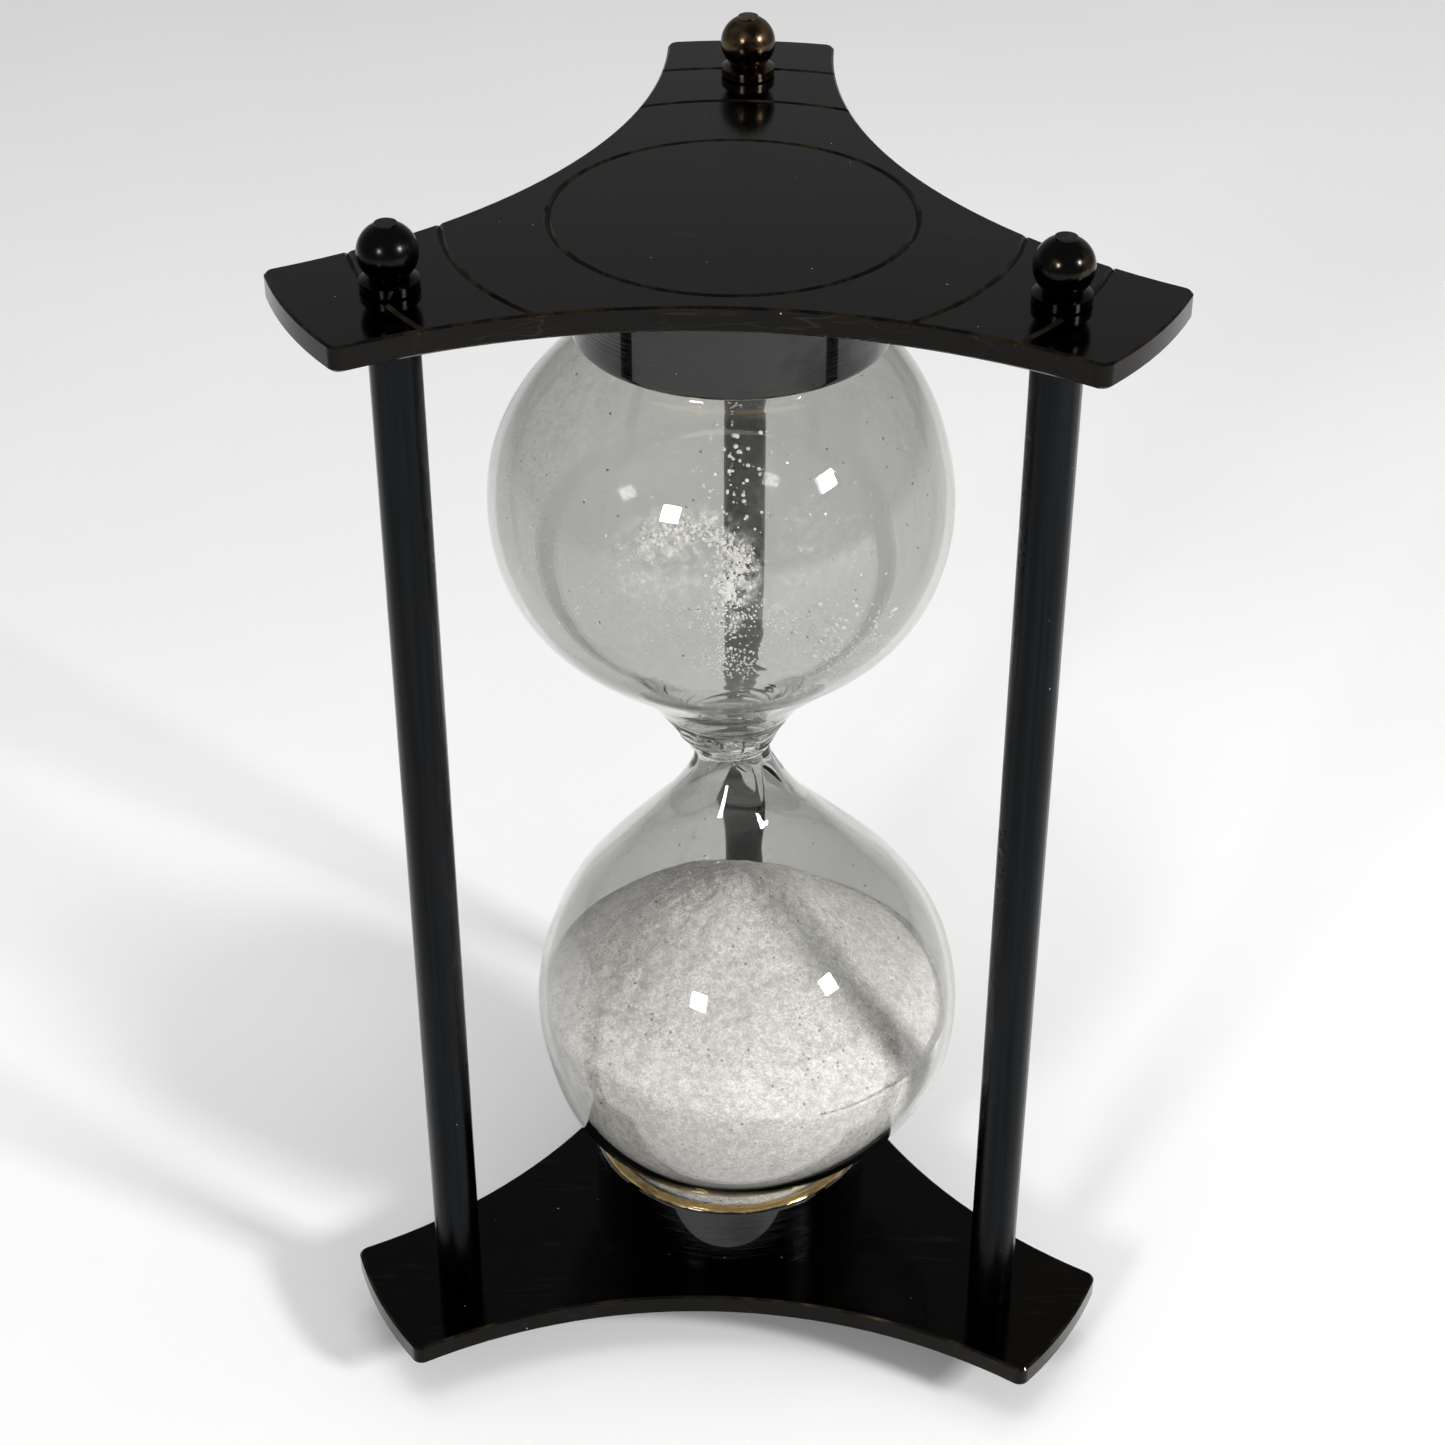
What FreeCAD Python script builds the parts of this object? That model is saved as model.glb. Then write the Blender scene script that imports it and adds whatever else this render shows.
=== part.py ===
import FreeCAD, Part
import math
import os

# Sand glass in a brass frame: two three-armed plates held apart by three round posts,
# with a hand-blown glass of two fused bulbs seated between them in two turned cups.
# Millimetres. +Z is up, the glass's axis is the Z axis, and z = 0 is the surface that
# the lower ball nuts stand on. The upper end is the lower end mirrored about mid-height.

Vector = FreeCAD.Vector
UP = Vector(0, 0, 1)
CENTRE = Vector(0, 0, 0)

# ---- driving dimensions ----

# Frame plates
PLATE_THICKNESS = 4.35
PLATE_SPACING = 208.7  # free height between the two plates
ARM_REACH = 77.0  # axis to the curved end of an arm
ARM_HALF_ANGLE = 11.5  # degrees, half of what an arm's end spans
SCALLOP_REACH = 34.25  # axis to the middle of the hollow between two arms
ARM_CORNER_RADIUS = 2.0
PLATE_BEVEL = 0.4
RING_GROOVE_RADIUS = 30.3  # the circle scored round the middle of a plate
ARM_GROOVE_RADII = (47.8, 63.0)  # the two lines scored across each arm
GROOVE_WIDTH = 1.1
GROOVE_DEPTH = 0.55

# Posts and the threaded studs that join them to the ball nuts
POST_CIRCLE_RADIUS = 60.0
POST_RADIUS = 4.25
POST_BEVEL = 0.3
STUD_RADIUS = 2.0  # M4, drawn at its full diameter
STUD_IN_POST = 10.0
STUD_IN_BALL = 6.0
STUD_BEVEL = 0.4
THREAD_CLEARANCE = 0.04  # radial, of a stud or screw in its tapped hole
TAPPED_HOLE_RUNOUT = 1.0  # how much deeper a tapped hole is than its stud
PLATE_HOLE_CLEARANCE = 0.25  # radial, of a stud in a plate

# Ball nuts
BALL_RADIUS = 4.9
BALL_CENTRE_HEIGHT = 6.15  # above the plate
COLLAR_RADIUS = 4.8
COLLAR_HEIGHT = 1.7
COLLAR_BEVEL = 0.3
BALL_NECK_RADIUS = 3.2
NUB_RADIUS = 1.8  # the small flat left at the pole by the lathe
NUB_HEIGHT = 0.3

# Cups, their screws and their pads
CUP_HEIGHT = 16.0
CUP_WALL = 2.4
CUP_FLOOR = 2.0
CUP_CLEARANCE = 0.6  # radial, between the glass's foot and the cup
CUP_LIP_BEVEL = 0.5
CUP_RIM_RADIUS = 1.2
CUP_SCREW_HEAD_RADIUS = 3.7
CUP_SCREW_HEAD_RIM = 0.2
CUP_SCREW_DEPTH = 2.6  # how far the screw goes into the plate
SCREW_SLOT_WIDTH = 0.9
SCREW_SLOT_DEPTH = 0.7
SCREW_CLEARANCE = 0.2  # radial, of the screw in the cup
SEAT_CLEARANCE = 0.05  # of the screw's head in its countersink
PAD_THICKNESS = 2.5
PAD_CLEARANCE = 1.0  # radial, between the pad and the cup

# Glass, as it is blown: two bulbs alike, fused at the neck
BULB_RADIUS = 40.6
BULB_ARC_RADIUS = 37.6  # of the bulb's outline
BULB_DISTANCE = 55.5  # from the neck to the widest part of a bulb
NECK_RADIUS = 6.7
ORIFICE_RADIUS = 2.0
FLARE_ANGLE = 45.0  # degrees from the axis, between neck and bulb
GLASS_WALL = 1.4
FOOT_RADIUS = 24.2
FOOT_FILLET = 3.0  # where the bulb runs into its foot
FOOT_ROUND = 4.0  # at the foot's lower edge

# Sand in the lower bulb
SAND_CLEARANCE = 0.3
SAND_PEAK_DEPTH = 25.4  # from the neck down to the heap's top
SAND_REPOSE_ANGLE = 37.0  # degrees
SAND_PEAK_ROUND = 8.0

# ---- derived ----

BALL_HEIGHT = (
    BALL_CENTRE_HEIGHT
    + math.sqrt(BALL_RADIUS**2 - NUB_RADIUS**2)
    + NUB_HEIGHT
)
HALF_SPACING = PLATE_SPACING / 2
HALF_FRAME = HALF_SPACING + PLATE_THICKNESS
MID_HEIGHT = HALF_FRAME + BALL_HEIGHT
CUP_BORE_RADIUS = FOOT_RADIUS + CUP_CLEARANCE
CUP_RADIUS = CUP_BORE_RADIUS + CUP_WALL
BALL_BORE_RADIUS = STUD_RADIUS + THREAD_CLEARANCE
BULB_ARC_OFFSET = BULB_RADIUS - BULB_ARC_RADIUS  # arc centre to the axis
FOOT_DISTANCE = HALF_SPACING - CUP_FLOOR - PAD_THICKNESS  # neck to the foot's flat

POSTS = {"front_left": -150, "front_right": -30, "back": 90}  # degrees about Z


# ---- outlines ----
# Everything round is turned about Z from an outline in the XZ plane. The lower end is
# drawn with mid-height at z = 0, so its heights are negative.


def point(radius, height):
    return Vector(radius, 0, height)


def line(start, end):
    return Part.LineSegment(point(*start), point(*end)).toShape()


def arc(start, middle, end):
    return Part.Arc(point(*start), point(*middle), point(*end)).toShape()


def polyline(points):
    return [line(a, b) for a, b in zip(points, points[1:])]


def turned(edges):
    """The solid of revolution about Z of a closed outline."""
    face = Part.Face(Part.Wire(Part.__sortEdges__(edges)))
    return face.revolve(CENTRE, UP, 360)


def on_circle(centre, radius, degrees):
    angle = math.radians(degrees)
    return (centre[0] + radius * math.cos(angle), centre[1] + radius * math.sin(angle))


def mirrored(shape):
    return shape.mirror(CENTRE, UP)


def at_post(shape, degrees):
    moved = shape.copy()
    moved.translate(Vector(POST_CIRCLE_RADIUS, 0, 0))
    moved.rotate(CENTRE, UP, degrees)
    return moved


# ---- frame ----


def star():
    """The plate's outline: three arms with curved ends, joined by circular hollows."""
    half_gap = math.radians(60 - ARM_HALF_ANGLE)
    corner = Vector(ARM_REACH * math.cos(half_gap), ARM_REACH * math.sin(half_gap), 0)
    # the hollow's circle passes through its middle and the corners beside it
    centre = (ARM_REACH**2 - SCALLOP_REACH**2) / (2 * (corner.x - SCALLOP_REACH))
    radius = centre - SCALLOP_REACH
    blank = Part.makeCylinder(ARM_REACH, PLATE_THICKNESS)
    for direction in (-90, 30, 150):
        hollow = Part.makeCylinder(radius, PLATE_THICKNESS, Vector(centre, 0, 0))
        hollow.rotate(CENTRE, UP, direction)
        blank = blank.cut(hollow)
    upright = [e for e in blank.Edges if abs(e.Length - PLATE_THICKNESS) < 1e-6]
    corners = [e for e in upright if e.CenterOfMass.x**2 + e.CenterOfMass.y**2 > 1]
    rounded = blank.makeFillet(ARM_CORNER_RADIUS, corners)
    rims = [e for f in rounded.Faces if abs(f.normalAt(0, 0).z) > 0.99 for e in f.Edges]
    return rounded.makeChamfer(PLATE_BEVEL, rims)


def groove(radius):
    """A ring with a V section, whose point is cut into the plate's outer face at z = 0."""
    half = GROOVE_WIDTH / 2
    return turned(
        polyline(
            [
                (radius - half, 0),
                (radius, GROOVE_DEPTH),
                (radius + half, 0),
                (radius, -GROOVE_DEPTH),
                (radius - half, 0),
            ]
        )
    )


def lower_plate():
    plate = star()
    for radius in (RING_GROOVE_RADIUS, *ARM_GROOVE_RADII):
        plate = plate.cut(groove(radius))
    hole = Part.makeCylinder(STUD_RADIUS + PLATE_HOLE_CLEARANCE, PLATE_THICKNESS)
    for degrees in POSTS.values():
        plate = plate.cut(at_post(hole, degrees))
    screw_hole = Part.makeCylinder(
        STUD_RADIUS + THREAD_CLEARANCE,
        CUP_SCREW_DEPTH + SEAT_CLEARANCE,
        Vector(0, 0, PLATE_THICKNESS - CUP_SCREW_DEPTH - SEAT_CLEARANCE),
    )
    plate = plate.cut(screw_hole)
    plate.translate(Vector(0, 0, -HALF_FRAME))
    return plate


def post():
    """A plain round bar with a tapped hole in each end."""
    bar = Part.makeCylinder(POST_RADIUS, PLATE_SPACING, Vector(0, 0, -HALF_SPACING))
    rims = [e for e in bar.Edges if e.Closed and abs(abs(e.CenterOfMass.z) - HALF_SPACING) < 1e-6]
    bar = bar.makeChamfer(POST_BEVEL, rims)
    hole = Part.makeCylinder(
        STUD_RADIUS + THREAD_CLEARANCE,
        STUD_IN_POST + TAPPED_HOLE_RUNOUT,
        Vector(0, 0, -HALF_SPACING),
    )
    return bar.cut(hole).cut(mirrored(hole))


def lower_stud():
    """The threaded rod that joins a post, a plate and a ball nut."""
    start = -HALF_FRAME - STUD_IN_BALL
    end = -HALF_SPACING + STUD_IN_POST
    stud = Part.makeCylinder(STUD_RADIUS, end - start, Vector(0, 0, start))
    rims = [e for e in stud.Edges if e.Closed and abs(e.Length - 2 * math.pi * STUD_RADIUS) < 1e-6]
    return stud.makeChamfer(STUD_BEVEL, rims)


def lower_ball():
    """A ball nut: collar, neck, ball and the small nub that the part stands on."""
    plate = -HALF_FRAME
    centre = (0, plate - BALL_CENTRE_HEIGHT)
    neck = centre[1] + math.sqrt(BALL_RADIUS**2 - BALL_NECK_RADIUS**2)
    nub = plate - BALL_HEIGHT + NUB_HEIGHT
    return turned(
        polyline(
            [
                (0, -MID_HEIGHT),
                (NUB_RADIUS, -MID_HEIGHT),
                (NUB_RADIUS, nub),
            ]
        )
        + [arc((NUB_RADIUS, nub), on_circle(centre, BALL_RADIUS, 0), (BALL_NECK_RADIUS, neck))]
        + polyline(
            [
                (BALL_NECK_RADIUS, neck),
                (COLLAR_RADIUS, plate - COLLAR_HEIGHT),
                (COLLAR_RADIUS, plate - COLLAR_BEVEL),
                (COLLAR_RADIUS - COLLAR_BEVEL, plate),
                (BALL_BORE_RADIUS, plate),
                (BALL_BORE_RADIUS, plate - STUD_IN_BALL - TAPPED_HOLE_RUNOUT),
                (0, plate - STUD_IN_BALL - TAPPED_HOLE_RUNOUT),
                (0, -MID_HEIGHT),
            ]
        )
    )


# ---- cups ----


def countersunk(extra):
    """A countersunk screw's outline, grown all round by extra, with its top at z = 0."""
    shank = STUD_RADIUS + extra
    head = CUP_SCREW_HEAD_RADIUS + extra
    return turned(
        polyline(
            [
                (0, 0),
                (head, 0),
                (head, -CUP_SCREW_HEAD_RIM),
                (shank, -CUP_SCREW_HEAD_RIM - (head - shank)),
                (shank, -CUP_FLOOR - CUP_SCREW_DEPTH),
                (0, -CUP_FLOOR - CUP_SCREW_DEPTH),
                (0, 0),
            ]
        )
    )


def lower_cup():
    """A turned cup with a countersunk hole in its floor and a bevelled lip."""
    base = -HALF_SPACING
    floor = base + CUP_FLOOR
    lip = base + CUP_HEIGHT
    cup = turned(
        polyline(
            [
                (0, base),
                (CUP_RADIUS, base),
                (CUP_RADIUS, lip - CUP_RIM_RADIUS),
            ]
        )
        + [
            arc(
                (CUP_RADIUS, lip - CUP_RIM_RADIUS),
                on_circle((CUP_RADIUS - CUP_RIM_RADIUS, lip - CUP_RIM_RADIUS), CUP_RIM_RADIUS, 45),
                (CUP_RADIUS - CUP_RIM_RADIUS, lip),
            )
        ]
        + polyline(
            [
                (CUP_RADIUS - CUP_RIM_RADIUS, lip),
                (CUP_BORE_RADIUS + CUP_LIP_BEVEL, lip),
                (CUP_BORE_RADIUS, lip - CUP_LIP_BEVEL),
                (CUP_BORE_RADIUS, floor),
                (0, floor),
                (0, base),
            ]
        )
    )
    seat = countersunk(SEAT_CLEARANCE)
    seat.translate(Vector(0, 0, floor))
    shank_hole = Part.makeCylinder(STUD_RADIUS + SCREW_CLEARANCE, CUP_FLOOR, Vector(0, 0, base))
    return cup.cut(seat).cut(shank_hole)


def lower_cup_screw():
    """The slotted screw that holds a cup to its plate, flush with the cup's floor."""
    screw = countersunk(0)
    slot = Part.makeBox(
        3 * CUP_SCREW_HEAD_RADIUS,
        SCREW_SLOT_WIDTH,
        2 * SCREW_SLOT_DEPTH,
        Vector(-1.5 * CUP_SCREW_HEAD_RADIUS, -SCREW_SLOT_WIDTH / 2, -SCREW_SLOT_DEPTH),
    )
    screw = screw.cut(slot)
    screw.translate(Vector(0, 0, -HALF_SPACING + CUP_FLOOR))
    return screw


def lower_pad():
    """The cork disc between a cup's floor and the glass's foot."""
    return Part.makeCylinder(
        CUP_BORE_RADIUS - PAD_CLEARANCE,
        PAD_THICKNESS,
        Vector(0, 0, -HALF_SPACING + CUP_FLOOR),
    )


# ---- glass and sand ----


def bulb_form(inset, neck_radius):
    """The solid form of the lower bulb, closed at mid-height. inset is how far inside
    the glass's outer face it lies."""
    angle = math.radians(FLARE_ANGLE)
    bulb = (BULB_ARC_OFFSET, -BULB_DISTANCE)
    bulb_arc = BULB_ARC_RADIUS - inset
    flare_end = on_circle(bulb, bulb_arc, FLARE_ANGLE)
    # the neck's arc touches the flare, and is upright at mid-height
    neck_arc = (
        (neck_radius - flare_end[0]) * math.cos(angle) - flare_end[1] * math.sin(angle)
    ) / (1 - math.cos(angle))
    neck = (neck_radius + neck_arc, 0)
    flare_start = on_circle(neck, neck_arc, 180 + FLARE_ANGLE)
    neck_middle = on_circle(neck, neck_arc, 180 + FLARE_ANGLE / 2)
    # the fillet touches the bulb and the foot
    foot_radius = FOOT_RADIUS - inset
    fillet = FOOT_FILLET + inset
    across = foot_radius + fillet - bulb[0]
    down = math.sqrt((bulb_arc + fillet) ** 2 - across**2)
    fillet_centre = (foot_radius + fillet, bulb[1] - down)
    turn = math.degrees(math.atan2(down, across))
    bulb_end = on_circle(bulb, bulb_arc, -turn)
    foot_start = (foot_radius, fillet_centre[1])
    foot_round = FOOT_ROUND - inset
    foot_flat = -FOOT_DISTANCE + inset
    round_centre = (foot_radius - foot_round, foot_flat + foot_round)
    return turned(
        [
            line((0, 0), (neck_radius, 0)),
            arc((neck_radius, 0), neck_middle, flare_start),
            line(flare_start, flare_end),
            arc(flare_end, on_circle(bulb, bulb_arc, 0), bulb_end),
            arc(bulb_end, on_circle(fillet_centre, fillet, 180 - turn / 2), foot_start),
            line(foot_start, (foot_radius, round_centre[1])),
            arc(
                (foot_radius, round_centre[1]),
                on_circle(round_centre, foot_round, -45),
                (round_centre[0], foot_flat),
            ),
            line((round_centre[0], foot_flat), (0, foot_flat)),
            line((0, foot_flat), (0, 0)),
        ]
    )


def lower_bulb():
    """Half of the glass: a closed bulb that opens at the neck, where the other bulb is
    fused to it, through a small hole."""
    return bulb_form(0, NECK_RADIUS).cut(bulb_form(GLASS_WALL, ORIFICE_RADIUS))


def sand():
    """The heap in the lower bulb: a cone with a rounded top."""
    slope = math.radians(SAND_REPOSE_ANGLE)
    peak = -SAND_PEAK_DEPTH
    centre = (0, peak - SAND_PEAK_ROUND)
    round_end = on_circle(centre, SAND_PEAK_ROUND, 90 - SAND_REPOSE_ANGLE)
    edge = (BULB_RADIUS, round_end[1] - (BULB_RADIUS - round_end[0]) * math.tan(slope))
    below = turned(
        [arc((0, peak), on_circle(centre, SAND_PEAK_ROUND, 90 - SAND_REPOSE_ANGLE / 2), round_end)]
        + polyline(
            [
                round_end,
                edge,
                (BULB_RADIUS, -HALF_SPACING),
                (0, -HALF_SPACING),
                (0, peak),
            ]
        )
    )
    return below.common(bulb_form(GLASS_WALL + SAND_CLEARANCE, ORIFICE_RADIUS))


# ---- writing ----


def write(node, shape):
    """One STEP per sub-part, raised so that the part stands on z = 0."""
    solid = shape.Solids[0].copy()
    if len(shape.Solids) != 1 or not solid.isValid():
        raise ValueError(f"{node} is not one valid solid")
    solid.translate(Vector(0, 0, MID_HEIGHT))
    solid.exportStep(f"parts/{node}.step")


def write_both(piece, shape):
    """The lower piece and its mirror image at the upper end."""
    write(f"lower_{piece}", shape)
    write(f"upper_{piece}", mirrored(shape))


os.makedirs("parts", exist_ok=True)

write_both("plate", lower_plate())
write_both("cup", lower_cup())
write_both("cup_screw", lower_cup_screw())
write_both("pad", lower_pad())
for place, degrees in POSTS.items():
    write(f"post_{place}", at_post(post(), degrees))
    write_both(f"stud_{place}", at_post(lower_stud(), degrees))
    write_both(f"ball_nut_{place}", at_post(lower_ball(), degrees))
write_both("bulb", lower_bulb())
write("sand", sand())
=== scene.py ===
import math
import random

import bpy
import numpy as np
from mathutils import Matrix, Vector, noise


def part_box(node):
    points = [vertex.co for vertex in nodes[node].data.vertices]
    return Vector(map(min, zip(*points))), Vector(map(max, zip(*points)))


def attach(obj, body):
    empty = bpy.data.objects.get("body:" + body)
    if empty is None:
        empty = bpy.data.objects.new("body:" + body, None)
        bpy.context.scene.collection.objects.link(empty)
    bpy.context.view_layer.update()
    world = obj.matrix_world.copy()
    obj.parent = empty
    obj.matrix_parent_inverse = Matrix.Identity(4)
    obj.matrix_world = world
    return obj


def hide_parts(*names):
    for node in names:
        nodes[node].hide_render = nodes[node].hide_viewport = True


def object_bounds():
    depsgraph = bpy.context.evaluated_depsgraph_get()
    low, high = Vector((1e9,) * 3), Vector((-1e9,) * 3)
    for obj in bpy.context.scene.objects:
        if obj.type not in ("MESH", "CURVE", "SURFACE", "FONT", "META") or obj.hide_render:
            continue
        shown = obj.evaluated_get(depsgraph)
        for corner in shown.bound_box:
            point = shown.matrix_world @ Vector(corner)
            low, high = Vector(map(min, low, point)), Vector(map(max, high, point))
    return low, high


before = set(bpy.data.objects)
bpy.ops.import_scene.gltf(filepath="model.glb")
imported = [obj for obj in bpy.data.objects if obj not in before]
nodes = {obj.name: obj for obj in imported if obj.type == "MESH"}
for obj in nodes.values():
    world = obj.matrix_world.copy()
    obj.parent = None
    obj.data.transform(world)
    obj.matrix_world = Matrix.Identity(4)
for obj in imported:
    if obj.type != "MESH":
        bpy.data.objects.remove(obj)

cad_low, cad_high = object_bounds()
MM = 0.001

# ---- the table and the lights ----
# The sand glass stands on a pale seamless table. Two square panels light it from the front left
# and the right, low enough to throw the shadow of a post on the sand, and a wide soft one hangs above.

CAMERA_PLACE = (0.01907, -0.43397, 0.42504)
CAMERA_YAW = 0.04786
CAMERA_PITCH = 0.60002
CAMERA_LENS = 71.71
ROOM_LIGHT = 0.30
PANEL_SIDE = 0.22
PANEL_DISTANCE = 1.5

camera = bpy.data.objects.new("camera", bpy.data.cameras.new("camera"))
bpy.context.scene.collection.objects.link(camera)
camera.data.sensor_width = 36
camera.data.lens = CAMERA_LENS
camera.data.clip_start = 0.02
camera.location = CAMERA_PLACE
camera.rotation_euler = (math.pi / 2 - CAMERA_PITCH, 0, CAMERA_YAW)
bpy.context.scene.camera = camera
bpy.context.scene.view_settings.view_transform = "Standard"

room = bpy.data.worlds.new("room")
room.use_nodes = True
room.node_tree.nodes["Background"].inputs["Color"].default_value = (1, 1, 1, 1)
room.node_tree.nodes["Background"].inputs["Strength"].default_value = ROOM_LIGHT
bpy.context.scene.world = room


def light_panel(name, azimuth, elevation, distance, side, watts):
    """A square panel that faces the middle of the sand glass. Azimuth 0 is in front, growing to the right."""
    lamp = bpy.data.lights.new(name, "AREA")
    lamp.size = side
    lamp.energy = watts
    panel = bpy.data.objects.new(name, lamp)
    turn, lift = math.radians(azimuth), math.radians(elevation)
    away = Vector((math.sin(turn) * math.cos(lift), -math.cos(turn) * math.cos(lift), math.sin(lift)))
    panel.location = (cad_low + cad_high) / 2 + away * distance
    panel.rotation_euler = away.to_track_quat("Z", "Y").to_euler()
    bpy.context.scene.collection.objects.link(panel)
    return panel


light_panel("panel_left", -24.5, 26, PANEL_DISTANCE, PANEL_SIDE, 8)
light_panel("panel_right", 58.5, 27.5, PANEL_DISTANCE, PANEL_SIDE, 17)
light_panel("panel_above", 0, 88, 1.6, 1.2, 12).visible_glossy = False


def add_node(tree, kind, sockets=(), **settings):
    """Adds a shader node, sets it up, and feeds its sockets, given as {name or place: value or output}."""
    made = tree.nodes.new("ShaderNode" + kind)
    for name, value in settings.items():
        setattr(made, name, value)
    for socket, value in dict(sockets).items():
        if isinstance(value, bpy.types.NodeSocket):
            tree.links.new(value, made.inputs[socket])
        else:
            made.inputs[socket].default_value = value
    return made


def fade(tree, value, start, end, low=0.0, high=1.0):
    """Goes smoothly from low to high while value goes from start to end."""
    sockets = {"Value": value, "From Min": start, "From Max": end, "To Min": low, "To Max": high}
    return add_node(tree, "MapRange", sockets, interpolation_type="SMOOTHSTEP").outputs[0]


def blend(tree, share, first, second):
    """Mixes two colours."""
    sockets = {0: share, 6: first, 7: second}
    return add_node(tree, "Mix", sockets, data_type="RGBA").outputs[2]


def cloud(tree, place, scale, detail=3.0, rough=0.5):
    """Noise from 0 to 1, whose middle is 0.5."""
    sockets = {"Vector": place, "Scale": scale, "Detail": detail, "Roughness": rough}
    return add_node(tree, "TexNoise", sockets).outputs["Fac"]


def new_material(name):
    """A material with a Principled shader, and the Object coordinates."""
    material = bpy.data.materials.new(name)
    material.use_nodes = True
    tree = material.node_tree
    shader = tree.nodes["Principled BSDF"]
    place = add_node(tree, "TexCoord").outputs["Object"]
    return material, tree, shader, place


def feed(tree, shader, **sockets):
    """Links outputs to the shader, or sets its sockets. Names are written with _ for a space."""
    for name, value in sockets.items():
        socket = shader.inputs[name.replace("_", " ")]
        if isinstance(value, bpy.types.NodeSocket):
            tree.links.new(value, socket)
        else:
            socket.default_value = value


material, tree, shader, place = new_material("table_top")
table_tone = fade(tree, cloud(tree, place, 6, 4), 0.3, 0.7)
table_colour = blend(tree, table_tone, (0.86, 0.86, 0.855, 1), (0.88, 0.88, 0.875, 1))
feed(tree, shader, Base_Color=table_colour, Roughness=0.75)
shader.inputs["Specular IOR Level"].default_value = 0.2
bpy.ops.object.select_all(action="DESELECT")
bpy.ops.mesh.primitive_plane_add(size=6, location=(0, 0, 0))
table = bpy.context.object
table.name = "table_top"
table.data.materials.append(material)

# ---- lower and upper plate ----
# Each end is a three-armed plate of cast brass, 4.35 mm thick, blackened and polished, with a ring and two
# arcs on each arm turned into its outer face. Handling has worn the black to brown along the edges.

PLATE_ARM_REACH = 77 * MM
PLATE_HOLLOW_CENTRE = 142.05 * MM
PLATE_HOLLOW_RADIUS = 107.8 * MM
PLATE_GROOVES = (30.3 * MM, 47.8 * MM, 63.0 * MM)
PLATE_GROOVE_HALF = 0.55 * MM
BLACK_BRASS = (0.0112, 0.0115, 0.0113, 1)
BROWN_BRASS = (0.022, 0.016, 0.011, 1)
WORN_BRASS = (0.17, 0.115, 0.06, 1)
DUST = (0.42, 0.41, 0.40, 1)


def calc(tree, operation, *values):
    """A Math node's result."""
    return add_node(tree, "Math", dict(enumerate(values)), operation=operation).outputs[0]


def times(tree, first, second):
    """The product of two values."""
    return calc(tree, "MULTIPLY", first, second)


def from_axis(tree, spot):
    """How far a place, split into its X, Y and Z, is from the Z axis."""
    across = calc(tree, "ADD", calc(tree, "POWER", spot[0], 2.0), calc(tree, "POWER", spot[1], 2.0))
    return calc(tree, "SQRT", across)


def stretched(tree, place, turn, scale):
    """The place turned about Z and stretched, for marks that run one way."""
    sockets = {"Vector": place, "Rotation": turn, "Scale": scale}
    return add_node(tree, "Mapping", sockets).outputs[0]


def bump(tree, shader, height, distance, strength=1.0):
    """Feeds the shader's normal from a height."""
    sockets = {"Height": height, "Distance": distance, "Strength": strength}
    tree.links.new(add_node(tree, "Bump", sockets).outputs[0], shader.inputs["Normal"])


def dress(names, material):
    """Gives carried-over CAD nodes a material."""
    for name in names:
        for slot in nodes[name].material_slots:
            slot.link = "OBJECT"
            slot.material = material
        if not nodes[name].material_slots:
            nodes[name].data.materials.append(material)


def wear_group():
    """Marks of use that every blackened piece has: hair scratches, smudges, stains and specks of dust."""
    group = bpy.data.node_groups.new("marks_of_use", "ShaderNodeTree")
    group.interface.new_socket("Vector", in_out="INPUT", socket_type="NodeSocketVector")
    for name in ("Scratches", "Smudges", "Stains", "Dust"):
        group.interface.new_socket(name, in_out="OUTPUT", socket_type="NodeSocketFloat")
    place = group.nodes.new("NodeGroupInput").outputs["Vector"]
    scratches = None
    for turn, scale, gate in ((0.5, 260, 11), (1.9, 210, 17), (2.7, 330, 23)):
        along = stretched(group, place, (0, 0, turn), (0.05, 1, 1))
        line = calc(group, "ABSOLUTE", calc(group, "SUBTRACT", cloud(group, along, scale, 2), 0.5))
        line = fade(group, line, 0.012, 0.0)
        here = fade(group, cloud(group, place, gate * 4, 2), 0.52, 0.62)
        line = times(group, line, here)
        scratches = line if scratches is None else calc(group, "MAXIMUM", scratches, line)
    smudges = fade(group, cloud(group, place, 55, 4, 0.6), 0.42, 0.72)
    stains = fade(group, cloud(group, place, 24, 5, 0.62), 0.45, 0.75)
    speck = add_node(group, "TexVoronoi", {"Vector": place, "Scale": 900.0})
    tone = add_node(group, "SeparateColor", {0: speck.outputs["Color"]})
    rare = calc(group, "GREATER_THAN", tone.outputs[0], 0.982)
    size = times(group, tone.outputs[1], 0.13)
    dust = times(group, rare, calc(group, "LESS_THAN", speck.outputs["Distance"], size))
    out = group.nodes.new("NodeGroupOutput")
    for name, value in (("Scratches", scratches), ("Smudges", smudges), ("Stains", stains), ("Dust", dust)):
        group.links.new(value, out.inputs[name])
    return group


marks_of_use = wear_group()


def use_marks(tree, place):
    """The marks of use at a place."""
    made = tree.nodes.new("ShaderNodeGroup")
    made.node_tree = marks_of_use
    tree.links.new(place, made.inputs["Vector"])
    return made.outputs


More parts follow.
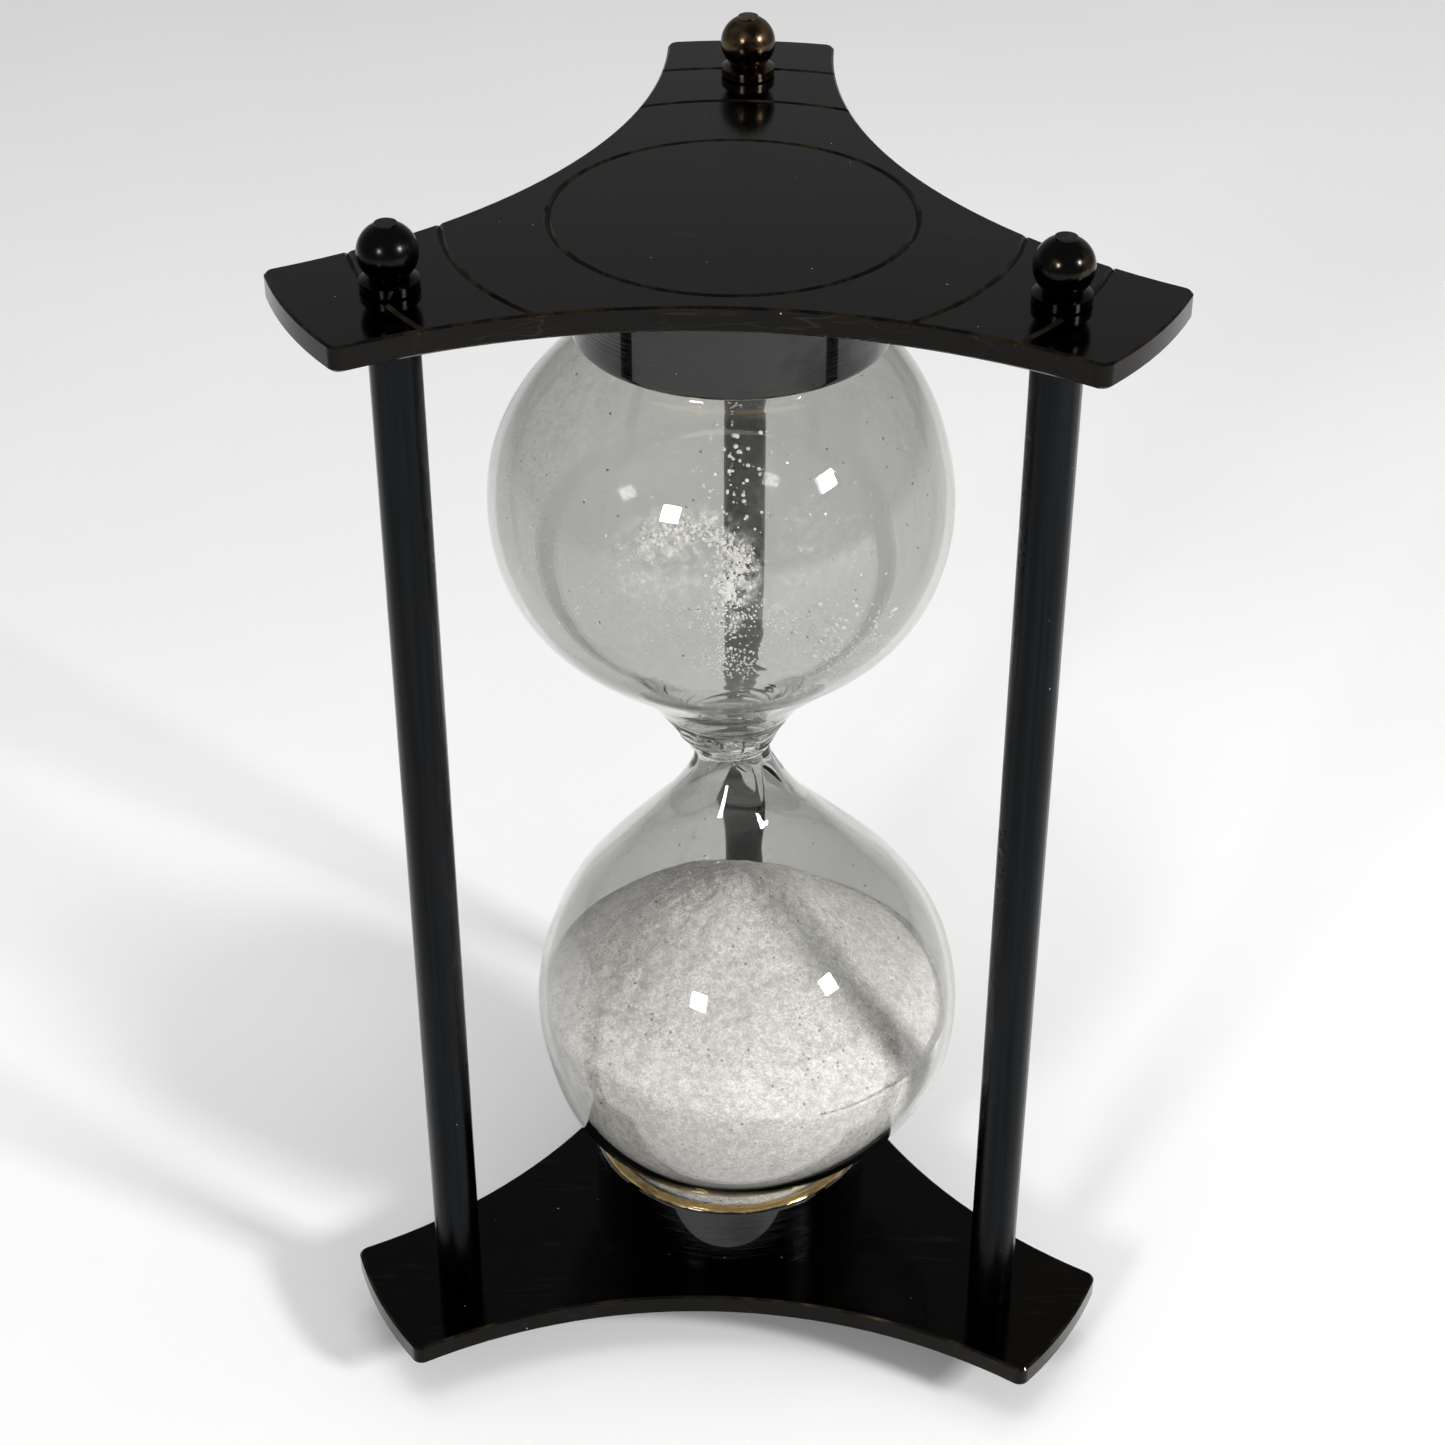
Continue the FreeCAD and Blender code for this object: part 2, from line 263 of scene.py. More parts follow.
def blackened(tree, shader, marks, worn, brown, roughness, scratched=0.0):
    """Black brass that is worn through where worn is 1 and browned where brown is 1."""
    colour = blend(tree, brown, BLACK_BRASS, BROWN_BRASS)
    colour = blend(tree, times(tree, marks["Scratches"], scratched), colour, (0.07, 0.06, 0.05, 1))
    colour = blend(tree, worn, colour, WORN_BRASS)
    colour = blend(tree, marks["Dust"], colour, DUST)
    rough = calc(tree, "ADD", roughness, times(tree, marks["Smudges"], 0.10))
    rough = calc(tree, "ADD", rough, times(tree, worn, 0.15))
    rough = calc(tree, "MAXIMUM", rough, times(tree, marks["Dust"], 0.9))
    feed(tree, shader, Base_Color=colour, Roughness=rough)
    feed(tree, shader, Metallic=calc(tree, "SUBTRACT", 1.0, marks["Dust"]))


def plate_material(name, outer_height):
    """outer_height is where the plate's grooved face lies."""
    material, tree, shader, place = new_material(name)
    marks = use_marks(tree, place)
    spot = add_node(tree, "SeparateXYZ", {0: place}).outputs
    reach = from_axis(tree, spot)
    inside = calc(tree, "SUBTRACT", PLATE_ARM_REACH, reach)
    for turn in (-90, 30, 150):
        centre_x = PLATE_HOLLOW_CENTRE * math.cos(math.radians(turn))
        centre_y = PLATE_HOLLOW_CENTRE * math.sin(math.radians(turn))
        off_x = calc(tree, "POWER", calc(tree, "SUBTRACT", spot[0], centre_x), 2.0)
        off_y = calc(tree, "POWER", calc(tree, "SUBTRACT", spot[1], centre_y), 2.0)
        from_centre = calc(tree, "SQRT", calc(tree, "ADD", off_x, off_y))
        from_hollow = calc(tree, "SUBTRACT", from_centre, PLATE_HOLLOW_RADIUS)
        inside = calc(tree, "MINIMUM", inside, from_hollow)
    facing = add_node(tree, "NewGeometry").outputs["True Normal"]
    upright = calc(tree, "ABSOLUTE", add_node(tree, "SeparateXYZ", {0: facing}).outputs[2])
    side = calc(tree, "LESS_THAN", upright, 0.3)
    chamfer = times(tree, calc(tree, "LESS_THAN", upright, 0.95), calc(tree, "GREATER_THAN", upright, 0.3))
    rubbed = fade(tree, cloud(tree, place, 180, 4, 0.6), 0.42, 0.66)
    rim_patches = fade(tree, cloud(tree, place, 260, 4), 0.5, 0.72)
    rim = times(tree, fade(tree, inside, 1.1 * MM, 0.35 * MM), rim_patches)
    rim = times(tree, rim, calc(tree, "SUBTRACT", 1.0, side))
    worn = times(tree, chamfer, calc(tree, "ADD", times(tree, rubbed, 0.32), 0.04))
    worn = calc(tree, "MAXIMUM", worn, times(tree, rim, 0.10))
    from_face = calc(tree, "ABSOLUTE", calc(tree, "SUBTRACT", spot[2], outer_height))
    outer_face = calc(tree, "LESS_THAN", from_face, 0.7 * MM)
    for radius in PLATE_GROOVES:
        from_line = calc(tree, "ABSOLUTE", calc(tree, "SUBTRACT", reach, radius))
        lip = calc(tree, "ABSOLUTE", calc(tree, "SUBTRACT", from_line, PLATE_GROOVE_HALF))
        lip = times(tree, fade(tree, lip, 0.22 * MM, 0.02 * MM), outer_face)
        lip_worn = calc(tree, "ADD", times(tree, rubbed, 0.14), 0.04)
        worn = calc(tree, "MAXIMUM", worn, times(tree, lip, lip_worn))
    tips = times(tree, fade(tree, reach, 45 * MM, 80 * MM), marks["Stains"])
    brown = calc(tree, "MAXIMUM", times(tree, side, 0.15), times(tree, tips, 0.5))
    blackened(tree, shader, marks, worn, brown, 0.10, 0.22)
    bump(tree, shader, cloud(tree, place, 140, 3), 0.00003, 0.25)
    return material


dress(["lower_plate"], plate_material("lower_plate_black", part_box("lower_plate")[0].z))
dress(["upper_plate"], plate_material("upper_plate_black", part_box("upper_plate")[1].z))

# ---- lower and upper cup ----
# A turned brass cup holds each end of the glass. It is blackened outside, with fine turning lines, and its
# inner lip is left bare.

CUP_LIP = 26.9 * MM
BARE_BRASS = (1.0, 0.74, 0.32, 1)


def cup_material(name, lip_height, floor_height):
    """lip_height is where the cup's open end lies, and floor_height where it is screwed to the plate."""
    material, tree, shader, place = new_material(name)
    marks = use_marks(tree, place)
    spot = add_node(tree, "SeparateXYZ", {0: place}).outputs
    reach = from_axis(tree, spot)
    from_lip = calc(tree, "ABSOLUTE", calc(tree, "SUBTRACT", spot[2], lip_height))
    from_floor = calc(tree, "ABSOLUTE", calc(tree, "SUBTRACT", spot[2], floor_height))
    ragged = times(tree, cloud(tree, place, 420, 4, 0.6), 0.5 * MM)
    bare = fade(tree, calc(tree, "ADD", reach, ragged), CUP_LIP + 0.35 * MM, CUP_LIP + 0.1 * MM)
    bare = times(tree, bare, fade(tree, from_lip, 1.3 * MM, 0.8 * MM))
    rubbed = fade(tree, cloud(tree, place, 220, 4, 0.6), 0.5, 0.7)
    rim = times(tree, calc(tree, "MINIMUM", fade(tree, from_lip, 1.4 * MM, 0.2 * MM), 1.0), rubbed)
    foot = times(tree, fade(tree, from_floor, 0.5 * MM, 0.1 * MM), rubbed)
    worn = calc(tree, "MAXIMUM", times(tree, rim, 0.22), times(tree, foot, 0.3))
    blackened(tree, shader, marks, worn, times(tree, marks["Stains"], 0.15), 0.09)
    black = shader.inputs["Base Color"].links[0].from_socket
    tarnish = fade(tree, cloud(tree, place, 160, 4, 0.6), 0.35, 0.7)
    brass = blend(tree, times(tree, tarnish, 0.4), BARE_BRASS, (0.50, 0.31, 0.10, 1))
    tree.links.new(blend(tree, bare, black, brass), shader.inputs["Base Color"])
    lines = stretched(tree, place, (0, 0, 0), (0.02, 0.02, 1))
    bump(tree, shader, cloud(tree, lines, 2600, 3), 0.0002, 0.7)
    feed(tree, shader, Coat_Weight=fade(tree, marks["Smudges"], 0, 1, 0.9, 0.5))
    return material


low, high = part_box("lower_cup")
dress(["lower_cup"], cup_material("lower_cup_black", high.z, low.z))
low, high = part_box("upper_cup")
dress(["upper_cup"], cup_material("upper_cup_black", low.z, high.z))

# ---- cup screws ----
# A countersunk steel screw holds each cup to its plate, its head turned and bright, a little oxidised.

material, tree, shader, place = new_material("bright_steel")
spot = add_node(tree, "SeparateXYZ", {0: place}).outputs
reach = from_axis(tree, spot)
rings = calc(tree, "SINE", times(tree, reach, 42000.0))
tone = fade(tree, cloud(tree, place, 500, 4, 0.6), 0.35, 0.7)
feed(tree, shader, Base_Color=blend(tree, tone, (0.52, 0.52, 0.53, 1), (0.34, 0.33, 0.32, 1)))
feed(tree, shader, Roughness=fade(tree, cloud(tree, place, 900, 3), 0.3, 0.7, 0.22, 0.42), Metallic=1.0)
bump(tree, shader, rings, 0.000004, 0.5)
bright_steel = material
dress(["lower_cup_screw", "upper_cup_screw"], bright_steel)

# ---- pads ----
# A disc of cork lies in each cup under the glass, cut from pressed granules.

material, tree, shader, place = new_material("cork")
granule = add_node(tree, "TexVoronoi", {"Vector": place, "Scale": 850.0})
pick = add_node(tree, "SeparateColor", {0: granule.outputs["Color"]}).outputs[0]
cork_colour = blend(tree, pick, (0.42, 0.26, 0.13, 1), (0.62, 0.43, 0.25, 1))
pores = fade(tree, cloud(tree, place, 1500, 4, 0.6), 0.62, 0.72)
cork_colour = blend(tree, pores, cork_colour, (0.12, 0.06, 0.03, 1))
feed(tree, shader, Base_Color=cork_colour, Roughness=fade(tree, pick, 0, 1, 0.8, 0.95))
bump(tree, shader, granule.outputs["Distance"], 0.0002, 0.7)
dress(["lower_pad", "upper_pad"], material)

# ---- the glass ----
# One piece of clear glass, blown by hand from tube and sealed: two bulbs joined by a neck that was worked
# hot, which left rings above the waist and twisted folds below it. It stands a little crooked in its cups.

NECK_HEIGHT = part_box("lower_bulb")[1].z
FOOT_DROP = NECK_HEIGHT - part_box("lower_bulb")[0].z
GLASS_WALL = 1.4 * MM
BULB_RADIUS = 40.6 * MM
BULB_ARC = 37.6 * MM
BULB_DROP = 55.5 * MM
NECK_RADIUS = 6.7 * MM
NECK_HOLE = 1.4 * MM
NECK_PINCH = 2.4 * MM
WAIST_RAISE = 3.0 * MM
NECK_THICKENING = 2.2 * MM
NECK_SLANT = 0.10
RING_PITCH = 1.3
RING_DEPTH = 0.32
RING_BULGE = 0.8
FOLD_DEPTH = 0.55
NECK_OVAL = 0.25
FLARE_TURN = 45
FLARE_RADIUS = 45 * MM
WAIST_TURN = 26
FOOT_RADIUS = 24.2 * MM
FOOT_FILLET = 3 * MM
FOOT_ROUND = 4 * MM
UPPER_LEAN = -2.0 * MM
LOWER_LEAN = 3.0 * MM
GLASS_STEPS = 120
BLOWN_SCALE = 28
BLOWN_DEPTH = 0.35


def arc(centre, radius, start, end, count):
    """Points of an arc, from start to end in degrees, without its last."""
    turns = [math.radians(start + (end - start) * i / count) for i in range(count)]
    return [(centre[0] + radius * math.cos(t), centre[1] + radius * math.sin(t)) for t in turns]


def straight(first, last, count):
    """Points of a line, without its last."""
    return [tuple(a + (b - a) * i / count for a, b in zip(first, last)) for i in range(count)]


def bulb_outline(inset, neck_radius):
    """The lower bulb's half section, from its foot's middle to the neck, as (radius, height over the neck).
    inset is how far inside the glass's outer face it lies."""
    turn = math.radians(FLARE_TURN)
    bulb = (BULB_RADIUS - BULB_ARC, -BULB_DROP)
    bulb_arc = BULB_ARC - inset
    flare_end = (bulb[0] + bulb_arc * math.cos(turn), bulb[1] + bulb_arc * math.sin(turn))
    waist_turn = math.radians(WAIST_TURN)
    cone = flare_end[0] * math.cos(turn) + flare_end[1] * math.sin(turn)
    left_over = cone - neck_radius * math.cos(turn) + FLARE_RADIUS * (1 - math.cos(turn - waist_turn))
    neck_arc = left_over / (math.cos(turn) - math.cos(turn - waist_turn))
    neck = (neck_radius + neck_arc, 0)
    flare_off = FLARE_RADIUS - neck_arc
    flare = (neck[0] + flare_off * math.cos(waist_turn), flare_off * math.sin(waist_turn))
    flare_start = (flare[0] - FLARE_RADIUS * math.cos(turn), flare[1] - FLARE_RADIUS * math.sin(turn))
    foot_radius = FOOT_RADIUS - inset
    fillet = FOOT_FILLET + inset
    across = foot_radius + fillet - bulb[0]
    down = math.sqrt((bulb_arc + fillet) ** 2 - across**2)
    fillet_centre = (foot_radius + fillet, bulb[1] - down)
    bend = math.degrees(math.atan2(down, across))
    foot_round = FOOT_ROUND - inset
    foot_flat = -FOOT_DROP + inset
    round_centre = (foot_radius - foot_round, foot_flat + foot_round)
    return (
        straight((0, foot_flat), (round_centre[0], foot_flat), 6)
        + arc(round_centre, foot_round, -90, 0, 8)
        + straight((foot_radius, round_centre[1]), (foot_radius, fillet_centre[1]), 2)
        + arc(fillet_centre, fillet, 180, 180 - bend, 5)
        + arc(bulb, bulb_arc, -bend, FLARE_TURN, 44)
        + straight(flare_end, flare_start, 14)
        + arc(flare, FLARE_RADIUS, 180 + FLARE_TURN, 180 + WAIST_TURN, 26)
        + arc(neck, neck_arc, 180 + WAIST_TURN, 180, 14)
        + [(neck_radius, 0.0)]
    )


def turned(name, outline, steps):
    """Lathes a half section of (radius, height), which starts and ends on the axis, into a closed mesh."""
    bpy.ops.object.select_all(action="DESELECT")
    bpy.ops.mesh.primitive_plane_add(size=1 * MM, location=(outline[0][0], 0, outline[0][1]))
    piece = bpy.context.object
    piece.name = name
    bpy.ops.object.mode_set(mode="EDIT")
    bpy.ops.mesh.select_all(action="SELECT")
    bpy.ops.mesh.merge(type="CENTER")
    for (r0, z0), (r1, z1) in zip(outline, outline[1:]):
        bpy.ops.mesh.extrude_vertices_move(TRANSFORM_OT_translate={"value": (r1 - r0, 0, z1 - z0)})
    bpy.ops.mesh.select_all(action="SELECT")
    bpy.ops.mesh.spin(steps=steps, angle=2 * math.pi, center=(0, 0, 0), axis=(0, 0, 1))
    bpy.ops.mesh.select_all(action="SELECT")
    bpy.ops.mesh.remove_doubles(threshold=0.00001)
    bpy.ops.mesh.normals_make_consistent(inside=False)
    bpy.ops.object.mode_set(mode="OBJECT")
    bpy.ops.object.transform_apply(location=True, rotation=True, scale=True)
    return piece


def points_of(piece):
    """The piece's points as an array."""
    found = np.empty(len(piece.data.vertices) * 3)
    piece.data.vertices.foreach_get("co", found)
    return found.reshape(-1, 3)


def move_points(piece, points):
    """Puts the piece's points where the array says."""
    piece.data.vertices.foreach_set("co", np.ascontiguousarray(points, float).ravel())
    piece.data.update()


def smoothly(value, start, end):
    """0 before start, 1 after end, and smooth between them."""
    share = np.clip((value - start) / (end - start), 0, 1)
    return share * share * (3 - 2 * share)


def leaning(points):
    """Leans the bulbs: each bulges to its side, while its foot and the neck stay where they are."""
    height = points[:, 2] - NECK_HEIGHT
    up = smoothly(height, 2 * MM, 45 * MM) * smoothly(height, FOOT_DROP - 10 * MM, FOOT_DROP - 38 * MM)
    down = smoothly(-height, 2 * MM, 45 * MM) * smoothly(-height, FOOT_DROP - 10 * MM, FOOT_DROP - 38 * MM)
    moved = points.copy()
    moved[:, 0] += UPPER_LEAN * up + LOWER_LEAN * down
    return moved


def worked_neck(points, rings_share, folds_share, pinched):
    """The marks of the hot neck: rings above the waist, folds below it, a waist that isn't level and lies a
    little high, and a wall that thickens only there, where the sand runs through."""
    height = (points[:, 2] - NECK_HEIGHT) / MM
    radius = np.hypot(points[:, 0], points[:, 1])
    turn = np.arctan2(points[:, 1], points[:, 0])
    tilted = height + NECK_SLANT * points[:, 0] / MM
    ring_zone = smoothly(tilted, 0.6, 2.0) * smoothly(tilted, 12.5, 7.5)
    ring_zone = ring_zone * (0.7 + 0.3 * np.sin(3 * turn + tilted))
    pitch = tilted / RING_PITCH + 0.22 * np.sin(2 * turn + 0.8 + 0.3 * tilted) + 0.3 * np.sin(tilted * 0.9)
    rings = RING_DEPTH * np.sin(2 * math.pi * pitch) * ring_zone * rings_share
    band = RING_BULGE * smoothly(tilted, 0.5, 4.0) * smoothly(tilted, 17, 11)
    fold_zone = smoothly(height, -15, -4) * smoothly(height, 2.5, -0.5)
    creases = np.abs(np.sin(3.5 * (turn + math.pi / 2) * 6 / 7 - 0.16 * height + 0.3 * np.sin(2 * turn)))
    folds = FOLD_DEPTH * (creases**0.7 - 0.75) * fold_zone * folds_share
    wobble = NECK_OVAL * np.sin(2 * turn + 0.5) * smoothly(np.abs(height), 26, 4)
    radius_new = radius + (rings + band + folds + wobble) * MM
    if pinched:
        radius_new -= (NECK_RADIUS - GLASS_WALL - NECK_HOLE) * np.exp(-((height * MM / NECK_PINCH) ** 2))
        below = smoothly(height, 0.5, -3.0) * (1 - np.exp(-((height / 2.6) ** 2)))
        radius_new -= NECK_THICKENING * below * np.exp(-((height / 9.0) ** 2))
    scale = np.where(radius > 0.5 * MM, radius_new / np.maximum(radius, 1e-9), 1.0)
    moved = points.copy()
    moved[:, 0] *= scale
    moved[:, 1] *= scale
    moved[:, 2] += NECK_SLANT * moved[:, 0] * smoothly(np.abs(height), 16, 3)
    moved[:, 2] += WAIST_RAISE * smoothly(np.abs(height), 45, 8)
    return moved


def blown(points):
    """Slow unevenness of hand-blown glass, a few tenths of a millimetre."""
    moved = points.copy()
    height = np.abs(points[:, 2] - NECK_HEIGHT)
    share = smoothly(height, 8 * MM, 25 * MM) * smoothly(height, FOOT_DROP - 8 * MM, FOOT_DROP - 30 * MM)
    for i, (point, amount) in enumerate(zip(points, share)):
        if amount > 0:
            push = noise.noise(Vector(point) * BLOWN_SCALE) * BLOWN_DEPTH * MM * amount
            radius = math.hypot(point[0], point[1])
            moved[i, 0] += push * point[0] / radius
            moved[i, 1] += push * point[1] / radius
    return moved


def whole_outline(inset, neck_radius):
    """The half section of both bulbs, from the lower foot to the upper one, at its height."""
    half = bulb_outline(inset, neck_radius)
    both = half + [(r, -z) for r, z in reversed(half[:-1])]
    return [(r, z + NECK_HEIGHT) for r, z in both]


outside = turned("glass", whole_outline(0, NECK_RADIUS), GLASS_STEPS)
move_points(outside, leaning(worked_neck(blown(points_of(outside)), 1.0, 1.0, False)))
inside = turned("glass_inside", whole_outline(GLASS_WALL, NECK_RADIUS - GLASS_WALL), GLASS_STEPS)
move_points(inside, leaning(worked_neck(blown(points_of(inside)), 0.25, 0.6, True)))
bpy.ops.object.select_all(action="DESELECT")
inside.select_set(True)
bpy.context.view_layer.objects.active = inside
bpy.ops.object.mode_set(mode="EDIT")
bpy.ops.mesh.select_all(action="SELECT")
bpy.ops.mesh.flip_normals()
bpy.ops.object.mode_set(mode="OBJECT")
outside.select_set(True)
bpy.context.view_layer.objects.active = outside
bpy.ops.object.join()
bpy.ops.object.shade_smooth()
glass = outside

material, tree, shader, place = new_material("blown_glass")
feed(tree, shader, Roughness=fade(tree, cloud(tree, place, 90, 4), 0.45, 0.8, 0.0, 0.012))
feed(tree, shader, Metallic=0.0, IOR=1.48)
shader.inputs["Transmission Weight"].default_value = 1.0
# The glass's grey base colour is painted shade: it dims everything seen through the glass to the grey of the
# darker room behind it, in slow uneven patches.
glass_painted_shade = fade(tree, cloud(tree, place, 20, 2), 0.35, 0.65)
feed(tree, shader, Base_Color=blend(tree, glass_painted_shade, (0.675, 0.678, 0.66, 1), (0.705, 0.707, 0.69, 1)))
bump(tree, shader, cloud(tree, place, 60, 2), 0.0002, 0.06)
lamp_ray = add_node(tree, "LightPath").outputs["Is Shadow Ray"]
clear = add_node(tree, "BsdfTransparent", {0: (0.93, 0.93, 0.93, 1)}).outputs[0]
either = add_node(tree, "MixShader", {0: lamp_ray, 1: shader.outputs[0], 2: clear}).outputs[0]
tree.links.new(either, tree.nodes["Material Output"].inputs["Surface"])
glass.data.materials.append(material)
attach(glass, "root")
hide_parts("lower_bulb", "upper_bulb")

# ---- the sand ----
# Fine white sand with a few dark and amber grains lies in the lower bulb, in the cone that it ran into, a
# little rounded at the top. It clears the glass by a hair so that the glass bends what is seen.

SAND_GAP = 0.3 * MM
SAND_PEAK_DROP = 25.4 * MM
SAND_SLOPE = math.tan(math.radians(37))
SAND_ROUND = 6 * MM
SAND_TILT = 4.0 * MM
SAND_RINGS = 105
SAND_STEPS = 210
# the heap's lumps, as (height in mm, scale of the noise)
SAND_LUMPS = ((0.55, 70), (0.42, 260), (0.32, 700))


def sand_height(radius):
    """The heap's height over the neck at a radius."""
    return -SAND_PEAK_DROP - (np.hypot(radius, SAND_ROUND * 0.5) - SAND_ROUND * 0.5) * SAND_SLOPE


def sand_tilt(across, radius):
    """How much lower the heap lies on its right side than its left."""
    return SAND_TILT * np.clip(across / edge[0], -0.35, 1) * smoothly(radius, 0, 18 * MM)


wall = bulb_outline(GLASS_WALL + SAND_GAP, NECK_RADIUS - GLASS_WALL)
under = [point for point in wall if point[1] < sand_height(point[0])]
edge = under[-1]
top_radii = [edge[0] * (1 - i / SAND_RINGS) for i in range(1, SAND_RINGS + 1)]
top = [(r, sand_height(r)) for r in top_radii]
sand_outline = [(r, z + NECK_HEIGHT) for r, z in under + top]
sand = turned("sand", sand_outline, SAND_STEPS)
points = points_of(sand)
radius = np.hypot(points[:, 0], points[:, 1])
surface = points[:, 2] > NECK_HEIGHT + sand_height(radius) - 0.2 * MM
loose = surface * smoothly(radius, edge[0], edge[0] - 3 * MM)
rough_height = np.array([
    sum(height * noise.noise(Vector(p) * scale) for height, scale in SAND_LUMPS) if s else 0
    for p, s in zip(points, surface)
])
points[:, 2] += rough_height * loose * MM
points[:, 2] -= sand_tilt(points[:, 0], radius) * surface
move_points(sand, leaning(points))
bpy.ops.object.shade_smooth()

material, tree, shader, place = new_material("white_sand")
grain = add_node(tree, "TexVoronoi", {"Vector": place, "Scale": 3200.0})
grain_pick = add_node(tree, "SeparateColor", {0: grain.outputs["Color"]}).outputs
sand_colour = blend(tree, grain_pick[0], (0.56, 0.54, 0.52, 1), (0.92, 0.89, 0.86, 1))
patches = fade(tree, cloud(tree, place, 120, 4, 0.6), 0.4, 0.7)
sand_colour = blend(tree, times(tree, patches, 0.35), sand_colour, (0.58, 0.555, 0.53, 1))
mottle = fade(tree, cloud(tree, place, 560, 6, 0.78), 0.44, 0.60)
sand_colour = blend(tree, times(tree, mottle, 0.50), sand_colour, (0.36, 0.345, 0.33, 1))
dark_grain = add_node(tree, "TexVoronoi", {"Vector": place, "Scale": 1100.0})
dark_pick = add_node(tree, "SeparateColor", {0: dark_grain.outputs["Color"]}).outputs
few = calc(tree, "GREATER_THAN", dark_pick[0], 0.965)
is_dark = times(tree, few, calc(tree, "LESS_THAN", dark_grain.outputs["Distance"], 0.32))
dark_tone = blend(tree, dark_pick[1], (0.16, 0.13, 0.12, 1), (0.42, 0.26, 0.16, 1))
sand_colour = blend(tree, times(tree, is_dark, 0.8), sand_colour, dark_tone)
feed(tree, shader, Base_Color=sand_colour, Roughness=fade(tree, grain_pick[1], 0, 1, 0.75, 1.0))
shader.inputs["Specular IOR Level"].default_value = 0.3
grain_pits = times(tree, grain.outputs["Distance"], 0.4)
sand_relief = calc(tree, "SUBTRACT", cloud(tree, place, 420, 6, 0.78), grain_pits)
bump(tree, shader, sand_relief, 0.0010, 0.7)
white_sand = material
sand.data.materials.append(white_sand)
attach(sand, "root")
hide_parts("sand")

# ---- grains that lie loose or stick to the glass ----
# Single grains stand out of the heap, and after each turn some grains and small lumps cling to the inside
# of the upper bulb, mostly in one curl at its back and in patches around it.

HEAP_GRAIN_COUNT = 900
CURL_GRAIN_COUNT = 80

draw = random.Random(11)


def grain_shape(name):
    """One angular grain, 1 mm across, with a few faces."""
    bpy.ops.object.select_all(action="DESELECT")
    bpy.ops.mesh.primitive_ico_sphere_add(subdivisions=1, radius=0.5 * MM, location=(0, 0, 0))
    piece = bpy.context.object
    piece.name = name
    bpy.ops.object.mode_set(mode="EDIT")
    bpy.ops.mesh.select_all(action="SELECT")
    bpy.ops.transform.vertex_random(offset=0.12 * MM, seed=3)
    bpy.ops.object.mode_set(mode="OBJECT")
    return piece


def scattered(name, places):
    """Copies of the grain, at (point, size in mm), as one piece."""
    first = grain_shape(name)
    shape = points_of(first)
    copies = []
    for point, size in places:
        turn = Matrix.Rotation(draw.uniform(0, 6.28), 3, "Z") @ Matrix.Rotation(draw.uniform(0, 3.14), 3, "X")
        stretch = np.array([draw.uniform(0.7, 1.3) for axis in range(3)]) * size
        copy = first.copy()
        copy.data = first.data.copy()
        bpy.context.scene.collection.objects.link(copy)
        move_points(copy, (shape * stretch) @ np.array(turn).T + np.array(point))
        copies.append(copy)
    bpy.ops.object.select_all(action="DESELECT")
    for copy in copies:
        copy.select_set(True)
    bpy.context.view_layer.objects.active = copies[0]
    bpy.ops.object.join()
    bpy.data.objects.remove(first)
    piece = bpy.context.object
    piece.name = name
    return piece


inner_wall = [(r, -z) for r, z in bulb_outline(GLASS_WALL, NECK_RADIUS - GLASS_WALL)]
wall_heights = np.array([z for r, z in reversed(inner_wall)])
wall_radii = np.array([r for r, z in reversed(inner_wall)])


def on_upper_wall(turn, height, clear):
    """A point clear of the upper bulb's inner face, at a turn from +X and a height over the neck, in mm."""
    radius = np.interp(height * MM, wall_heights, wall_radii) - clear * MM
    angle = math.radians(turn)
    return (radius * math.cos(angle), radius * math.sin(angle), NECK_HEIGHT + height * MM)


loose_grains = []
for i in range(HEAP_GRAIN_COUNT):
    radius = edge[0] * math.sqrt(draw.random()) * 0.97
    angle = draw.uniform(0, 2 * math.pi)
    x, y = radius * math.cos(angle), radius * math.sin(angle)
    height = NECK_HEIGHT + float(sand_height(radius)) - float(sand_tilt(x, radius))
    loose_grains.append(((x, y, height + 0.05 * MM), draw.uniform(0.22, 0.5)))
heap_grains = scattered("heap_grains", loose_grains)
move_points(heap_grains, leaning(points_of(heap_grains)))
heap_grains.data.materials.append(white_sand)
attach(heap_grains, "root")

# the curl's course, as (turn, height over the neck in mm)
CURL = (
    (124, 31), (112, 32), (104, 31.5), (96, 29.5), (88, 27.5),
    (84, 26), (90, 24.5), (96, 23.5), (90, 22), (94, 20.5),
)
# loose patches of grains, as (turn, height, spread of the turn, spread of the height, count, biggest grain)
CLINGING_PATCHES = (
    (88, 40, 4, 8, 70, 1.0), (95, 12, 20, 1.8, 240, 0.5), (94, 17, 9, 1.6, 90, 0.6),
    (60, 19, 25, 1.5, 120, 0.5), (115, 19, 20, 1.5, 90, 0.5), (-12, 27, 12, 3, 90, 0.9),
    (14, 21, 16, 2.5, 90, 0.9), (-50, 22, 20, 3, 60, 0.7), (150, 30, 22, 6, 90, 0.45),
    (160, 52, 14, 8, 80, 0.5), (90, 45, 60, 16, 120, 0.35),
)
clinging = []
for (turn_a, height_a), (turn_b, height_b) in zip(CURL, CURL[1:]):
    for i in range(CURL_GRAIN_COUNT):
        share = draw.random()
        turn = turn_a + (turn_b - turn_a) * share + draw.gauss(0, 2.6)
        height = height_a + (height_b - height_a) * share + draw.gauss(0, 0.9)
        size = draw.choice((0.25, 0.3, 0.35, 0.4, 0.5, 0.7, 1.1))
        clinging.append((on_upper_wall(turn, height, size * 0.5 + 0.3), size))
for turn, height, spread, rise, count, biggest in CLINGING_PATCHES:
    for i in range(count):
        size = draw.uniform(0.25, biggest)
        at = (turn + draw.gauss(0, spread), min(max(height + draw.gauss(0, rise), 8.5), 80))
        clinging.append((on_upper_wall(at[0], at[1], size * 0.5 + 0.3), size))
clinging_grains = scattered("clinging_grains", clinging)
lifted = points_of(clinging_grains)
